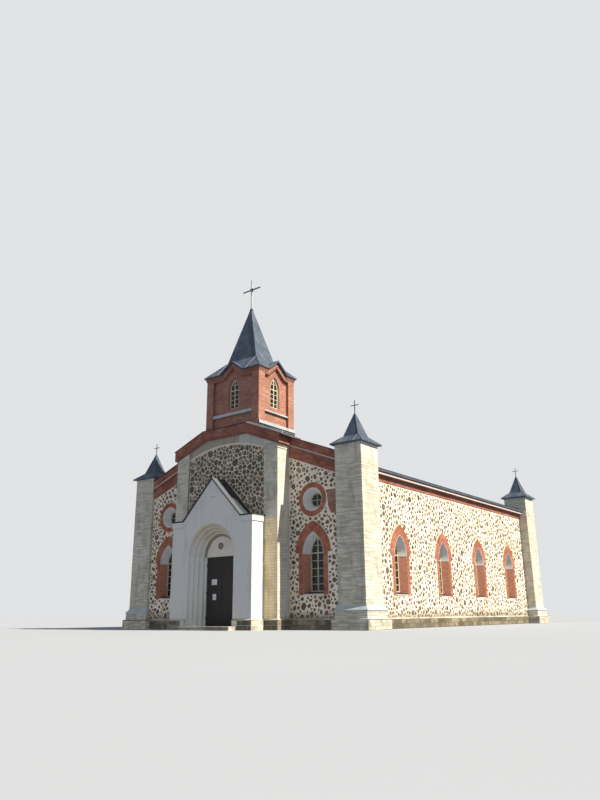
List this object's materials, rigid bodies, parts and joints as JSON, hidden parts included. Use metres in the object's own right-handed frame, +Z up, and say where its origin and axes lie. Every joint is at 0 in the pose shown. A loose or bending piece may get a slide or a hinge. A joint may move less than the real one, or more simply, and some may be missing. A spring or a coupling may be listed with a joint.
{
  "type": "rural stone church with a brick tower",
  "caption": "Small stone church: rubble walls with brick trims, limestone piers and corner turrets, a brick tower with a spire, and a white porch with a double door that opens.",
  "frame": {"origin": "ground level under the doorway, on the middle axis and in the front plane of the middle bay", "axes": "+X to the right seen from the front, +Y into the building, +Z up"},
  "size_m": [13.74, 21.21, 16.55],
  "materials": {
    "rubble": "field boulders in light lime mortar",
    "limestone": "coursed limestone, thin old whitewash",
    "brick": "red brick with flush joints",
    "plaster": "white lime plaster on masonry",
    "roof_metal": "grey sheet metal on boards",
    "window_glass": "small panes in cream painted bars",
    "door_wood": "dark brown painted boards",
    "concrete": "worn pale concrete and stone"
  },
  "bodies": {
    "building": {"central_wall_right": "rubble", "central_wall_left": "rubble", "central_wall_over_door": "rubble", "bay_wall_right": "rubble", "bay_wall_left": "rubble", "side_wall_right": "rubble", "side_wall_left": "rubble", "rear_wall": "rubble", "bay_pilaster_right": "limestone", "bay_pilaster_left": "limestone", "turret_front_right": "limestone", "turret_front_left": "limestone", "turret_rear_right": "limestone", "turret_rear_left": "limestone", "central_cornice": "brick", "bay_cornice_right": "brick", "bay_cornice_left": "brick", "side_cornice_right": "brick", "side_cornice_left": "brick", "rear_cornice": "brick", "tower_wall_front": "brick", "tower_wall_rear": "brick", "tower_wall_right": "brick", "tower_wall_left": "brick", "porch_pier_right": "plaster", "porch_pier_left": "plaster", "porch_gable": "plaster", "nave_roof_right": "roof_metal", "nave_roof_left": "roof_metal", "tower_roof": "roof_metal", "porch_roof": "roof_metal", "tower_cross": "roof_metal", "turret_roof_front_right": "roof_metal", "turret_roof_front_left": "roof_metal", "turret_roof_rear_right": "roof_metal", "turret_roof_rear_left": "roof_metal", "front_window_right": "window_glass", "front_window_left": "window_glass", "round_window_right": "window_glass", "round_window_left": "window_glass", "rear_window_right": "window_glass", "rear_window_left": "window_glass", "tower_window_front": "window_glass", "tower_window_rear": "window_glass", "tower_window_right": "window_glass", "tower_window_left": "window_glass", "side_window_right_1": "window_glass", "side_window_right_2": "window_glass", "side_window_right_3": "window_glass", "side_window_right_4": "window_glass", "side_window_left_1": "window_glass", "side_window_left_2": "window_glass", "side_window_left_3": "window_glass", "side_window_left_4": "window_glass", "door_frame": "door_wood", "nave_floor": "concrete", "entrance_steps": "concrete"},
    "right_door": {"door_leaf_right": "door_wood"},
    "left_door": {"door_leaf_left": "door_wood"}
  },
  "joints": [
    {"name": "right_door_hinge", "type": "hinge", "parent": "building", "child": "right_door", "pos_m": [0.847, -0.034, 1.5], "axis": [0, 0, 1], "range_deg": [0, 100]},
    {"name": "left_door_hinge", "type": "hinge", "parent": "building", "child": "left_door", "pos_m": [-0.847, -0.034, 1.5], "axis": [0, 0, -1], "range_deg": [0, 100]}
  ]
}
